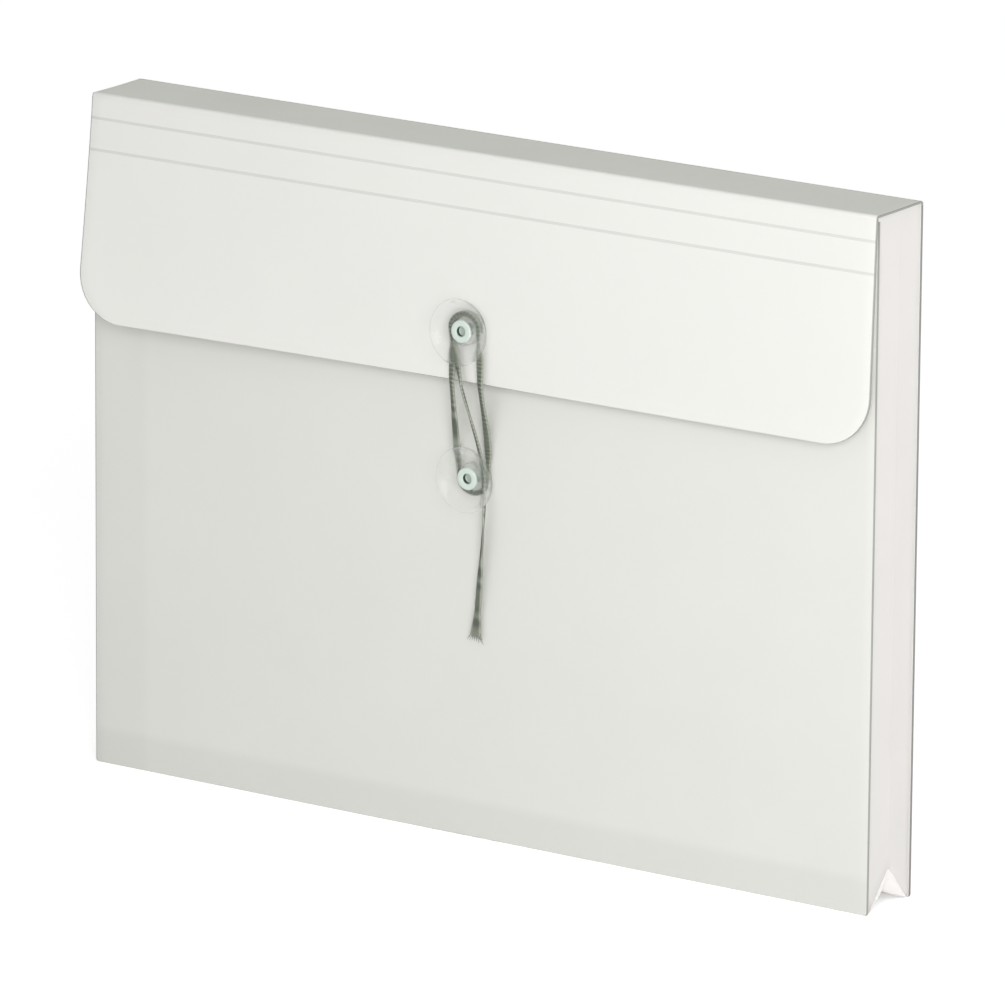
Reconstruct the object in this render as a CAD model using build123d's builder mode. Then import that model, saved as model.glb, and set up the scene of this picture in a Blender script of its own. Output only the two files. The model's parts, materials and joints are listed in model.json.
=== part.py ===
# Document case of thin plastic sheet, closed by a string wound on two buttons.
# Millimetres. X is the width, the front faces -Y, Z is up.
# The origin is under the middle of the whole object, on the ground.

import math
import os

from build123d import *

os.makedirs("parts", exist_ok=True)

# Driving dimensions of the case
case_width = 332.0
case_height = 250.0
body_depth = 28.6
sheet = 0.8
gusset_sheet = 0.5
flange_width = 8.0

# The closing flap, measured down the flap from the top front edge
flap_length = 82.0
score_a = 9.0
score_b = 20.4
flap_corner_radius = 18.5
flap_lean = 3.0

# Button closure, both buttons on the same upright line
button_x = 0.4
upper_button_drop = 63.0
lower_button_height = 133.0
disc_radius = 12.0
disc_flat_radius = 7.8
disc_sheet = 0.8
disc_flare = 3.0
hub_radius = 5.3
rivet_head_radius = 4.1
rivet_head_height = 0.9
rivet_shank_radius = 2.25
rivet_bore_radius = 1.7
rivet_shoulder_height = 0.54
rivet_bore_height = 0.63
rivet_round = 0.5
rivet_lip = 0.3
clinch_radius = 3.4
clinch_height = 0.5
washer_radius = 7.0
washer_height = 0.8

# The string and its two layers on the buttons
string_radius = 0.7
layer_gap = 0.6
tail_drop = 58.0
tail_x = 1.4
tail_rise = 0.3
tail_bend_drop = 26.0
tail_bend_x = 4.6
tail_bend_fall = 0.6
tail_lean = 5.0

# How much higher than the inner layer, or the outer one, each strand runs between the buttons
first_fall = 0.15
second_start = 0.2
second_rise = 0.4
second_fall = 0.2
slant_rise = 0.9
slant_fall = 0.2
slant_end = 0.35

# Clearances
flap_clearance = 0.4
top_clearance = 1.5
edge_margin = 0.6
spin_clearance = 0.1
hole_clearance = 0.15
string_clearance = 0.25
wrap_clearance = 0.15
mitre_clearance = 0.8
apex_clearance = 0.05
gore_clearance = 0.4
axis_lift = 0.6

# Bottom gusset, an inverted V whose halves rise by this angle
bottom_angle = 34.0

# Gore fold points at the middle of the depth: inward shift and height
gore_bend_height = 10.0
gore_notch_in = 3.0
gore_notch_height = 4.2

# Places worked out from the dimensions
half_width = case_width / 2
lean_sin = math.sin(math.radians(flap_lean))
lean_cos = math.cos(math.radians(flap_lean))
string_step = 2 * string_radius + layer_gap
inner_layer = string_radius + string_clearance
outer_layer = inner_layer + string_step
hub_height = outer_layer + string_radius + string_clearance
disc_top = hub_height + disc_sheet
rim_height = disc_top + disc_flare
head_base = disc_top + spin_clearance

spine_depth = body_depth + flap_clearance + sheet
front_reach = upper_button_drop * lean_sin + rim_height * lean_cos + disc_radius * lean_sin
back_y = (spine_depth + front_reach) / 2
crease_y = back_y - spine_depth
front_y = back_y - body_depth
rear_inner_y = back_y - sheet - gusset_sheet
front_inner_y = front_y + sheet + gusset_sheet
middle_y = (rear_inner_y + front_inner_y) / 2
half_fold = (rear_inner_y - front_inner_y) / 2

wall_top = case_height - sheet - top_clearance
gusset_x = half_width - edge_margin
axis_x = gusset_x - gusset_sheet
bottom_sin = math.sin(math.radians(bottom_angle))
bottom_cos = math.cos(math.radians(bottom_angle))
bottom_half = (half_fold - apex_clearance - gusset_sheet * bottom_sin) / bottom_cos
apex_height = axis_lift + bottom_half * bottom_sin
side_start = axis_lift + mitre_clearance

sheet_hole_radius = rivet_shank_radius + hole_clearance
disc_bore_radius = rivet_shank_radius + spin_clearance


def sheet_bar(outline):
    """A bar along X with the given outline in the YZ plane, as wide as the case."""
    with BuildPart() as bar:
        with BuildSketch(Plane.YZ):
            with BuildLine():
                Polyline(*outline, close=True)
            make_face()
        extrude(amount=half_width, both=True)
    return bar.part


def save(part, label):
    """Name a finished piece and write it to its own file."""
    part.label = label
    export_step(part, f"parts/{label}.step")


# Frames of the leaning flap and of the upright front panel.
# In both, local X runs along the case, local Y runs up and local Z points out of the sheet.
flap_plane = Plane(
    origin=(0, crease_y, case_height),
    x_dir=(1, 0, 0),
    z_dir=(0, -lean_cos, lean_sin),
)
flap_button_plane = Plane(
    origin=flap_plane.from_local_coords(Vector(button_x, -upper_button_drop, 0)),
    x_dir=(1, 0, 0),
    z_dir=flap_plane.z_dir,
)
front_button_plane = Plane(
    origin=(button_x, front_y, lower_button_height),
    x_dir=(1, 0, 0),
    z_dir=(0, -1, 0),
)

# Where the underside of the spine meets the inner face of the flap
flap_mitre = sheet * (1 - lean_sin) / lean_cos
mitre_point = flap_plane.from_local_coords(Vector(0, -flap_mitre, -sheet))

# Back panel, mitred along its top edge
save(
    sheet_bar(
        [
            (back_y, 0),
            (back_y, case_height),
            (back_y - sheet, case_height - sheet),
            (back_y - sheet, 0),
        ]
    ),
    "back_panel",
)

# Spine, the narrow top, mitred along both long edges
save(
    sheet_bar(
        [
            (back_y, case_height),
            (crease_y, case_height),
            (mitre_point.Y, mitre_point.Z),
            (back_y - sheet, case_height - sheet),
        ]
    ),
    "spine",
)

# Upper strip of the flap, mitred against the spine and square at the first scored line
strip_outer = flap_plane.from_local_coords(Vector(0, -score_a, 0))
strip_inner = flap_plane.from_local_coords(Vector(0, -score_a, -sheet))
save(
    sheet_bar(
        [
            (crease_y, case_height),
            (strip_outer.Y, strip_outer.Z),
            (strip_inner.Y, strip_inner.Z),
            (mitre_point.Y, mitre_point.Z),
        ]
    ),
    "flap_upper_strip",
)

# Middle strip of the flap, between the two scored lines
with BuildPart() as middle_strip:
    with BuildSketch(flap_plane):
        with Locations((0, -(score_a + score_b) / 2)):
            Rectangle(case_width, score_b - score_a)
    extrude(amount=-sheet)
save(middle_strip.part, "flap_middle_strip")

# Flap plate with two rounded lower corners and the upper rivet's hole
with BuildPart() as flap:
    with BuildSketch(flap_plane):
        with Locations((0, -(score_b + flap_length) / 2)):
            Rectangle(case_width, flap_length - score_b)
        lower_corners = vertices().group_by(Axis.Y)[0]
        fillet(lower_corners, radius=flap_corner_radius)
        with Locations((button_x, -upper_button_drop)):
            Circle(sheet_hole_radius, mode=Mode.SUBTRACT)
    extrude(amount=-sheet)
save(flap.part, "flap")

# Front panel with the lower rivet's hole
with BuildPart() as front_panel:
    with BuildSketch(front_button_plane):
        with Locations((-button_x, wall_top / 2 - lower_button_height)):
            Rectangle(case_width, wall_top)
        Circle(sheet_hole_radius, mode=Mode.SUBTRACT)
    extrude(amount=-sheet)
save(front_panel.part, "front_panel")


def side_flange(side, near_y, far_y):
    """Upright weld flange on the inner face of a panel, at the right or left end."""
    with BuildPart() as flange:
        with BuildSketch(Plane.XY):
            with Locations((side * (gusset_x - flange_width / 2), (near_y + far_y) / 2)):
                Rectangle(flange_width, abs(far_y - near_y))
        extrude(amount=wall_top)
    return flange.part


def side_half(side, from_y, toward):
    """Half of a side gusset, from a flange to the middle fold, with a mitred lower end."""
    with BuildPart() as half:
        with BuildSketch(Plane.YZ.offset(side * axis_x)):
            with BuildLine():
                Polyline(
                    (from_y, side_start),
                    (from_y + toward * half_fold, side_start + half_fold),
                    (from_y + toward * half_fold, wall_top),
                    (from_y, wall_top),
                    close=True,
                )
            make_face()
        extrude(amount=side * gusset_sheet)
    return half.part


def corner_gore(side):
    """Folded corner of thin sheet between a side gusset and the bottom gusset."""
    outer_x = side * gusset_x
    rear = Vector(outer_x, rear_inner_y, 0)
    front = Vector(outer_x, front_inner_y, 0)
    ridge = [
        Vector(outer_x, middle_y, side_start + half_fold - gore_clearance),
        Vector(outer_x, middle_y, gore_bend_height),
        Vector(outer_x - side * gore_notch_in, middle_y, gore_notch_height),
        Vector(side * (axis_x - bottom_half), middle_y, apex_height - gore_clearance),
    ]
    thickness = Vector(-side * gusset_sheet, 0, gusset_sheet)
    with BuildPart() as gore:
        for tip in (rear, front):
            for start, end in zip(ridge, ridge[1:]):
                facet = Face(Wire.make_polygon([tip, start, end]))
                extrude(facet, amount=thickness.length, dir=thickness.normalized())
    return gore.part


# Side gussets, their weld flanges and the corner gores
for side, name in ((1, "right"), (-1, "left")):
    save(side_flange(side, rear_inner_y, back_y - sheet), f"{name}_back_flange")
    save(side_flange(side, front_inner_y, front_y + sheet), f"{name}_front_flange")
    save(side_half(side, rear_inner_y, -1), f"{name}_gusset_rear")
    save(side_half(side, front_inner_y, 1), f"{name}_gusset_front")
    save(corner_gore(side), f"{name}_corner_gore")


def bottom_flange(near_y, far_y):
    """Weld flange along the foot of a panel, between the two side flanges."""
    with BuildPart() as flange:
        with BuildSketch(Plane.XY):
            with Locations((0, (near_y + far_y) / 2)):
                Rectangle(2 * (gusset_x - flange_width), abs(far_y - near_y))
        extrude(amount=flange_width)
    return flange.part


def bottom_half_sheet(from_y, toward):
    """Half of the bottom gusset, rising from a flange to the middle fold, mitred at both ends."""
    plane = Plane(
        origin=(0, from_y, axis_lift),
        x_dir=(1, 0, 0),
        z_dir=(0, -toward * bottom_sin, bottom_cos),
    )
    foot = axis_x - mitre_clearance
    head = foot - bottom_half
    reach = toward * bottom_half
    with BuildPart() as half:
        with BuildSketch(plane):
            with BuildLine():
                Polyline((-foot, 0), (foot, 0), (head, reach), (-head, reach), close=True)
            make_face()
        extrude(amount=-gusset_sheet)
    return half.part


# Bottom gusset and its flanges
save(bottom_flange(rear_inner_y, back_y - sheet), "bottom_back_flange")
save(bottom_flange(front_inner_y, front_y + sheet), "bottom_front_flange")
save(bottom_half_sheet(rear_inner_y, -1), "bottom_gusset_rear")
save(bottom_half_sheet(front_inner_y, 1), "bottom_gusset_front")


def turned(plane, outline):
    """A turned piece about the plane's Z axis, from points of radius and height."""
    section_plane = Plane(origin=plane.origin, x_dir=plane.x_dir, z_dir=-plane.y_dir)
    with BuildPart() as piece:
        with BuildSketch(section_plane):
            with BuildLine():
                Polyline(*outline, close=True)
            make_face()
        revolve(axis=Axis(plane.origin, plane.z_dir))
    return piece.part


# Outlines of the button's pieces, heights from the outer face of the sheet
disc_outline = [
    (disc_bore_radius, spin_clearance),
    (hub_radius, spin_clearance),
    (hub_radius, hub_height),
    (disc_flat_radius, hub_height),
    (disc_radius, rim_height - disc_sheet),
    (disc_radius, rim_height),
    (disc_flat_radius - disc_sheet / 2, disc_top),
    (disc_bore_radius, disc_top),
]
washer_base = -sheet - washer_height
rivet_outline = [
    (rivet_bore_radius, washer_base - clinch_height),
    (clinch_radius, washer_base - clinch_height),
    (clinch_radius, washer_base),
    (rivet_shank_radius, washer_base),
    (rivet_shank_radius, head_base),
    (rivet_head_radius, head_base),
    (rivet_head_radius, head_base + rivet_shoulder_height),
    (rivet_head_radius - rivet_round, head_base + rivet_head_height),
    (rivet_bore_radius + rivet_lip, head_base + rivet_head_height),
    (rivet_bore_radius, head_base + rivet_bore_height),
]
washer_outline = [
    (sheet_hole_radius, washer_base),
    (washer_radius, washer_base),
    (washer_radius, -sheet),
    (sheet_hole_radius, -sheet),
]

# Upper button on the flap, lower button on the front panel
for plane, name in ((flap_button_plane, "upper"), (front_button_plane, "lower")):
    save(turned(plane, disc_outline), f"{name}_disc")
    save(turned(plane, rivet_outline), f"{name}_rivet")
    save(turned(plane, washer_outline), f"{name}_washer")

# The string's route, as corner points of a line, each with the largest bend allowed there.
# It starts over the upper button, goes down the left, under the lower button,
# up the right, over the upper button again, slants to the right and hangs as a tail.
wrap_radius = hub_radius + string_radius + wrap_clearance
wrap_step = 30.0
free_bend = 40.0
edge_margin_along = 1.5
edge_drop = flap_length - upper_button_drop
button_spacing = (front_button_plane.origin - flap_button_plane.origin).length
slant_slope = 2 * wrap_radius / button_spacing
slant = math.degrees(math.asin(slant_slope))
under_disc = disc_radius + 1


def on_flap(x, rise, height):
    """A point of the route over the flap, from the upper button's middle."""
    return (flap_button_plane.from_local_coords(Vector(x, rise, height)), free_bend)


def on_front(x, rise, height):
    """A point of the route over the front panel, from the lower button's middle."""
    return (front_button_plane.from_local_coords(Vector(x, rise, height)), free_bend)


def wrap(plane, start, end, height):
    """Corner points of a stretch that goes round a button, by angle from local X."""
    count = max(1, round(abs(end - start) / wrap_step))
    step = math.radians(end - start) / count
    radius = wrap_radius / math.cos(step / 2)
    turns = [math.radians(start) + step * (i + 0.5) for i in range(count)]
    corners = [Vector(radius * math.cos(turn), radius * math.sin(turn), height) for turn in turns]
    return [(plane.from_local_coords(corner), wrap_radius) for corner in corners]


def over_edge(x, height, fall):
    """Two points, the upper one first, that carry a strand past the flap's lower edge."""
    upper = on_flap(x, edge_margin_along - edge_drop, height)
    lower = on_flap(x, -edge_margin_along - edge_drop, height - fall)
    return [upper, lower]


route = [on_flap(wrap_radius, 0, inner_layer)]
route += wrap(flap_button_plane, 0, 180, inner_layer)
route += over_edge(-wrap_radius, inner_layer, first_fall)
route += wrap(front_button_plane, 180, 360, inner_layer)
route += [on_front(wrap_radius, under_disc, inner_layer + second_start)]
route += reversed(over_edge(wrap_radius, inner_layer + second_rise, second_fall))
route += wrap(flap_button_plane, 0, 180 + slant, outer_layer)
slant_edge_x = slant_slope * edge_drop - wrap_radius
route += over_edge(slant_edge_x, inner_layer + slant_rise, slant_fall)
slant_front_x = wrap_radius - slant_slope * under_disc
route += [on_front(slant_front_x, under_disc, outer_layer + slant_end)]
route += wrap(front_button_plane, slant, -tail_lean, outer_layer)
route += [
    on_front(tail_bend_x, -tail_bend_drop, outer_layer - tail_bend_fall),
    on_front(tail_x, -tail_drop, inner_layer + tail_rise),
]


def rounded_route(corners):
    """Straight runs joined by tangent arcs, each corner rounded up to half its shorter leg."""
    points = [point for point, largest in corners]
    edges = []
    radii = []
    last = points[0]
    for before, (corner, largest), after in zip(points, corners[1:], points[2:]):
        way_in = (corner - before).normalized()
        way_out = (after - corner).normalized()
        half_turn = math.radians(way_in.get_angle(way_out)) / 2
        shorter = min((corner - before).length, (after - corner).length)
        reach = min(shorter / 2, largest * math.tan(half_turn))
        radius = reach / math.tan(half_turn)
        arc_start = corner - way_in * reach
        arc_end = corner + way_out * reach
        inward = (way_out - way_in).normalized()
        middle = corner + inward * (radius / math.cos(half_turn) - radius)
        if (arc_start - last).length > 1e-4:
            edges.append(Edge.make_line(last, arc_start))
        edges.append(Edge.make_three_point_arc(arc_start, middle, arc_end))
        radii.append(radius)
        last = arc_end
    edges.append(Edge.make_line(last, points[-1]))
    return Wire(edges), radii


string_path, bend_radii = rounded_route(route)
with BuildPart() as string:
    with BuildSketch(Plane(origin=string_path @ 0, z_dir=string_path % 0)):
        Circle(string_radius)
    sweep(path=string_path)
save(string.part, "string")

# What the string measures: length, bends, volume against section by length, and gap to itself
string_length = string_path.length
section_area = math.pi * string_radius**2
sample_count = 1200
samples = [string_path @ (i / sample_count) for i in range(sample_count + 1)]
spacing = string_length / sample_count
apart = int(math.pi * wrap_radius / spacing)
least_gap = min(
    (samples[i] - samples[j]).length
    for i in range(0, sample_count + 1, 2)
    for j in range(i + apart, sample_count + 1, 2)
)
print(f"string length {string_length:.1f}, tightest bend {min(bend_radii):.2f}")
print("bend radii", " ".join(f"{radius:.1f}" for radius in bend_radii))
print(f"string volume {string.part.volume:.1f}, section by length {section_area * string_length:.1f}")
print(f"least gap of the string to itself {least_gap - 2 * string_radius:.2f}")
print("route", [tuple(round(value, 2) for value in point) for point, largest in route])
print(f"origin shift: back {back_y:.3f}, crease {crease_y:.3f}, front {front_y:.3f}")
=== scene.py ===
import json
import math

import bmesh
import bpy
import numpy as np
from bpy.props import FloatProperty, FloatVectorProperty, IntProperty, PointerProperty
from mathutils import Matrix, Vector, noise

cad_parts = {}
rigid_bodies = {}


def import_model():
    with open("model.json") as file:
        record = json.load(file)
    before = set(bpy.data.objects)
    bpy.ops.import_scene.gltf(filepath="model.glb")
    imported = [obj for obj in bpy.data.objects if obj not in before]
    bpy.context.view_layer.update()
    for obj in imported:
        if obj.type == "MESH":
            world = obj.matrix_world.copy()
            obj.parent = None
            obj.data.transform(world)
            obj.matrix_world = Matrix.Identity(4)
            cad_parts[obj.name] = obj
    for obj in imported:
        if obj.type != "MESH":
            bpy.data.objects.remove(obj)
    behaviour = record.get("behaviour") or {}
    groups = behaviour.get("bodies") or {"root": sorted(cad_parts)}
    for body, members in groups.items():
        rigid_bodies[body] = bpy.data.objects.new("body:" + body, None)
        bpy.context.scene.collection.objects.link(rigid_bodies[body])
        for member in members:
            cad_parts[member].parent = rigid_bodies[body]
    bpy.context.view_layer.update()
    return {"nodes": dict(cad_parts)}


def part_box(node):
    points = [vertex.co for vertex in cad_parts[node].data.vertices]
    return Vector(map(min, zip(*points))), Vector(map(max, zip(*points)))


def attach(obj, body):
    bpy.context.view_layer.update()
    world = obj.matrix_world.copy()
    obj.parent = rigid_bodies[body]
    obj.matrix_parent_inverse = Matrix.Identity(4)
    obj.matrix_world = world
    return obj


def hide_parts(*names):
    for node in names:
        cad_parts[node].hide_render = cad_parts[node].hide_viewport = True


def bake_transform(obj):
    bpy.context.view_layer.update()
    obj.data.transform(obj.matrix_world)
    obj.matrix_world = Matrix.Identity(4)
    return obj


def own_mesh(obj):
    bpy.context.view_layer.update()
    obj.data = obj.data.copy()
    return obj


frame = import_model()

# Document case of frosted plastic sheet, closed by a string wound on two clear buttons.
# Metres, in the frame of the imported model. X is the width, the front faces -Y, Z is up.

bl_info = {
    "name": "Document Case",
    "version": (1, 0, 0),
    "blender": (4, 5, 0),
    "location": "View3D > Sidebar > Document Case",
    "description": "Builds the looks of a document case of frosted plastic sheet around its packed frame",
    "category": "Object",
}

# Places read from the frame
BACK_LOW, BACK_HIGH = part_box("back_panel")
SPINE_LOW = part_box("spine")[0]
FRONT_LOW, FRONT_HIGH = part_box("front_panel")
REAR_LOW, REAR_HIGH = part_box("right_gusset_rear")
FORE_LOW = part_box("right_gusset_front")[0]
HALF_WIDTH = BACK_HIGH.x
CASE_TOP = BACK_HIGH.z
BACK_Y = BACK_HIGH.y
CREASE_Y = SPINE_LOW.y
FRONT_Y = FRONT_LOW.y
SHEET = BACK_HIGH.y - BACK_LOW.y
GUSSET_X = REAR_HIGH.x
GUSSET_SHEET = REAR_HIGH.x - REAR_LOW.x
REAR_INNER_Y = REAR_HIGH.y
MIDDLE_Y = REAR_LOW.y
FRONT_INNER_Y = FORE_LOW.y
HALF_FOLD = REAR_INNER_Y - MIDDLE_Y
SIDE_START = REAR_LOW.z
SIDES = ((1, "right"), (-1, "left"))

# Edges that turn by more than this are drawn sharp
SHARP = math.radians(35)

# Size and strength of the fine texture of the frosted sheets
GRAIN_SCALE = 2500.0
GRAIN_DEPTH = 0.0001

# Distance over which the waves of a sheet fade, from its sides and from the buttons' line
WAVE_FADE = 0.03

# Distance from the middle where the flap begins to lift
LIFT_START = 0.015

# Height over which a gusset half takes up its curve, and its own small ripple
CURVE_FADE = 0.02
RIPPLE_LENGTH = 0.05
RIPPLE_SHARE = 0.3

# Small chamfer and fillet of the turned pieces
CHAMFER = 0.0002
FILLET = 0.0003

# The string's step and lean in degrees, its heights over its layers and its tail's last two points,
# all as in the part's source
WRAP_STEP = 30
FIRST_FALL = 0.00015
SECOND_START = 0.0002
SECOND_RISE = 0.0004
SECOND_FALL = 0.0002
SLANT_RISE = 0.0009
SLANT_FALL = 0.0002
SLANT_END = 0.00035
TAIL_LEAN = 5
TAIL_BEND_X = 0.0046
TAIL_BEND_DROP = 0.026
TAIL_BEND_FALL = 0.0006
TAIL_X = 0.0014
TAIL_RISE = 0.0003

# Turn of the flat string about its own line in degrees, after each share of its length
TWIST_KEYS = (
    (0.0, 0), (0.1, 0), (0.15, 30), (0.24, -12), (0.3, 0), (0.37, 0), (0.44, -28), (0.5, 5), (0.62, 0),
    (0.68, 62), (0.74, 40), (0.79, 10), (0.83, 66), (0.88, 48), (0.94, 14), (1.0, -6),
)

# Blender seeds its noise vectors by the clock, so the loose fibres need a seed of their own
FIBRE_SEED = 7

# Where the braid is drawn tight near a button, flares at its end and leaves the flap
TIGHT_REACH = 0.0075
TIGHT_FADE = 0.004
FLARE_LENGTH = 0.008
EDGE_FADE = 0.006


def size(name, description, default):
    """A length in metres."""
    return FloatProperty(name=name, description=description, default=default, unit="LENGTH", precision=5)


def angle(name, description, degrees):
    """An angle, given in degrees."""
    return FloatProperty(name=name, description=description, default=math.radians(degrees), subtype="ANGLE")


def number(name, description, default):
    """A plain number."""
    return FloatProperty(name=name, description=description, default=default)


def spot(name, description, default):
    """A point in metres."""
    return FloatVectorProperty(
        name=name, description=description, default=default, size=3, subtype="XYZ", unit="LENGTH"
    )


def colour(name, description, default):
    """A linear colour with full cover."""
    return FloatVectorProperty(
        name=name, description=description, default=default, size=4, subtype="COLOR", min=0, max=1
    )


class SheetSettings(bpy.types.PropertyGroup):
    """Sizes of the sheets, of the flap and of their folds."""

    flap_length: size("Flap length", "From the top front edge down to the flap's lower edge", 0.082)
    score_a: size("First score", "From the top front edge to the first scored line", 0.009)
    score_b: size("Second score", "From the top front edge to the second scored line", 0.0204)
    flap_corner: size("Flap corner radius", "Rounding of the flap's two lower corners", 0.0185)
    flap_lean: angle("Flap lean", "How far the flap stands off the front", 3)
    corner_lift: size("Corner lift", "How far the flap's left lower corner springs out", 0.0062)
    corner_press: size("Corner press", "How far the flap's right lower corner lies closer", 0.0009)
    score_half: size("Score half width", "Half the width of a scored strip", 0.00055)
    score_depth: size("Score depth", "Depth of a scored groove", 0.00016)
    score_lip: size("Score lip", "Height of the burr beside a scored groove", 0.00006)
    crease_reach: size("Crease reach", "How far a bent crease reaches into each sheet", 0.0016)
    crease_radius: size("Crease radius", "Bend radius at the middle of the sheet", 0.0008)
    edge_inset: size("Edge inset", "Width of the softened rim on a sheet's face", 0.0004)
    edge_round: size("Edge round", "Depth of the softened rim", 0.00014)
    panel_corner: size("Panel corner", "Rounding of the panels' lower corners", 0.0012)
    relief: size("Relief", "Height of the soft waves in the sheets", 0.00028)
    relief_length: size("Relief length", "Spacing of the soft waves", 0.07)
    # The bands below are painted shade on the front sheet, where the gussets behind it show through
    behind_bottom: size("Bottom band", "Height of the bottom gusset seen through the front", 0.0105)
    behind_side: size("Side band", "Width of the left gusset seen through the front", 0.020)
    behind_fade: size("Band fade", "Soft border of what is seen through the front", 0.005)
    behind_shade: number("Band shade", "Brightness of the front over the bottom gusset", 0.94)
    top_gap: size("Top gap", "Gap between the side gussets and the spine", 0.0003)
    gore_rest: size("Corner rest", "Distance from the back sheet to a folded corner pressed flat", 0.0012)
    gore_keep: number("Corner keep", "Share of its depth that a corner keeps in the flat case", 0.06)
    mitre_cover: size("Mitre cover", "How far a gusset half hangs over the folded corner", 0.0009)
    gusset_sag: size("Gusset sag", "How far a gusset half curves inward", 0.00008)
    bottom_lift: size("Bottom lift", "Height of the bottom gusset's outer folds", 0.0006)
    bottom_angle: angle("Bottom angle", "Rise of the bottom gusset's halves", 34)
    gore_bend: size("Gore bend height", "Height where the corner's ridge turns inward", 0.010)
    gore_notch_in: size("Gore notch depth", "How far the corner's notch lies inward", 0.003)
    gore_notch_height: size("Gore notch height", "Height of the corner's notch", 0.0042)
    gore_gap: size("Gore gap", "Clearance at both ends of the corner's ridge", 0.0004)


class ButtonSettings(bpy.types.PropertyGroup):
    """Places and sizes of the two buttons."""

    x: size("Button X", "Both buttons lie on this upright line", 0.0004)
    upper_drop: size("Upper button drop", "From the top front edge down the flap", 0.063)
    lower_height: size("Lower button height", "Above the foot of the front panel", 0.133)
    hub_radius: size("Hub radius", "Radius of the disc's hub", 0.0053)
    hub_height: size("Hub height", "From the sheet to the underside of the disc", 0.0039)
    disc_radius: size("Disc radius", "Outer radius of the clear disc", 0.012)
    disc_flat: size("Disc flat radius", "Where the disc begins to flare", 0.0070)
    disc_sheet: size("Disc thickness", "Thickness of the clear disc", 0.0008)
    disc_flare: size("Disc flare", "How far the disc's rim stands out", 0.003)
    bore_radius: size("Bore radius", "Radius of the disc's bore", 0.00235)
    spin_gap: size("Spin gap", "Clearance of the turning disc", 0.0001)
    head_radius: size("Rivet head radius", "Radius of the rivet's rolled head", 0.0041)
    head_height: size("Rivet head height", "Height of the rivet's rolled head", 0.0009)
    shank_radius: size("Rivet shank radius", "Radius of the rivet's shank", 0.00225)
    hollow_radius: size("Rivet hollow radius", "Radius of the hollow in the rivet's head", 0.0018)
    hollow_depth: size("Rivet hollow depth", "Depth of the hollow in the rivet's head", 0.0021)
    clinch_radius: size("Clinch radius", "Radius of the rivet's clinched foot", 0.0034)
    clinch_height: size("Clinch height", "Height of the rivet's clinched foot", 0.0005)
    washer_height: size("Washer height", "Thickness of the washer behind the sheet", 0.0008)


class StringSettings(bpy.types.PropertyGroup):
    """The string's route and its flat braid."""

    radius: size("String radius", "Radius of the string where it is drawn tight", 0.0007)
    layer_gap: size("Layer gap", "Gap between the two layers on a button", 0.0006)
    gap: size("String gap", "Gap between the string and the sheet", 0.00025)
    wrap_gap: size("Wrap gap", "Gap between the string and the hub", 0.00015)
    edge_margin: size("Edge margin", "Distance of a route point from the flap's lower edge", 0.0015)
    under_disc: size("Rim margin", "How far past the rim a strand is led", 0.001)
    length: size("String length", "Real length of the string", 0.2817)
    tail_drop: size("Tail drop", "How far the tail hangs below the lower button", 0.058)
    width: size("Braid width", "Width of the flat braid", 0.0028)
    thickness: size("Braid thickness", "Thickness of the flat braid", 0.001)
    tight_width: size("Tight width", "Width of the braid where it is wound on a hub", 0.0017)
    tight_thickness: size("Tight thickness", "Thickness of the braid where it is wound on a hub", 0.00125)
    end_width: size("End width", "Width of the braid at its loose end", 0.0044)
    braid_pitch: size("Braid pitch", "Length of one turn of the braid", 0.0030)
    braid_relief: size("Braid relief", "Height of the braid's strands", 0.00012)
    fibres: IntProperty(name="Fibres", description="Loose fibres at the string's end", default=22, min=1)
    fibre_radius: size("Fibre radius", "Radius of one loose fibre", 0.00013)
    fibre_length: size("Fibre length", "Longest loose fibre", 0.0042)


class ColourSettings(bpy.types.PropertyGroup):
    """Colours of the materials."""

    panel: colour("Panels", "Front and back sheet", (0.75, 0.752, 0.712, 1))
    # Flap: lighter than the panels, painted light for the second layer of sheet behind it
    flap: colour("Flap", "Closing flap", (0.825, 0.821, 0.788, 1))
    # Scored lines: darker than the flap, painted shade of their grooves
    score: colour("Scored lines", "Grooves and creases", (0.67, 0.675, 0.645, 1))
    # Spine: darker and greener than the sheet it is folded from, painted shade of the top face that the low
    # light leaves dim
    spine: colour("Spine", "Narrow top", (0.66, 0.675, 0.61, 1))
    gusset: colour("Gussets", "Thin side and bottom sheets", (0.845, 0.822, 0.795, 1))
    # Cut edges and the back edge: dark colours on the sheets' rims and a thin band of their faces, painted
    # shade that draws the dark outline along them
    edge: colour("Cut edges", "Rims of the sheets", (0.30, 0.305, 0.285, 1))
    back_edge: colour("Back edge", "Rim of the back sheet", (0.20, 0.20, 0.19, 1))
    disc: colour("Discs", "Clear plastic", (0.955, 0.965, 0.955, 1))
    rivet: colour("Rivets", "Pale plastic rivets", (0.53, 0.61, 0.555, 1))
    # Rivet hollow: near black, painted shade on the wall of the hollow
    hollow: colour("Rivet hollow", "Shaded wall of the rivet's hollow", (0.012, 0.035, 0.022, 1))
    washer: colour("Washers", "Rings behind the sheets", (0.80, 0.82, 0.79, 1))
    # Braid colours: the strand value that blends them follows the weave's relief, so the dark one is partly
    # painted shade in the weave's low places and middle groove
    braid_dark_and_shade: colour("Braid, dark", "Dark strands of the string", (0.085, 0.098, 0.074, 1))
    braid_light: colour("Braid, light", "Light strands of the string", (0.325, 0.345, 0.288, 1))
    floor: colour("Floor", "Pale floor", (0.93, 0.93, 0.93, 1))


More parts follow.
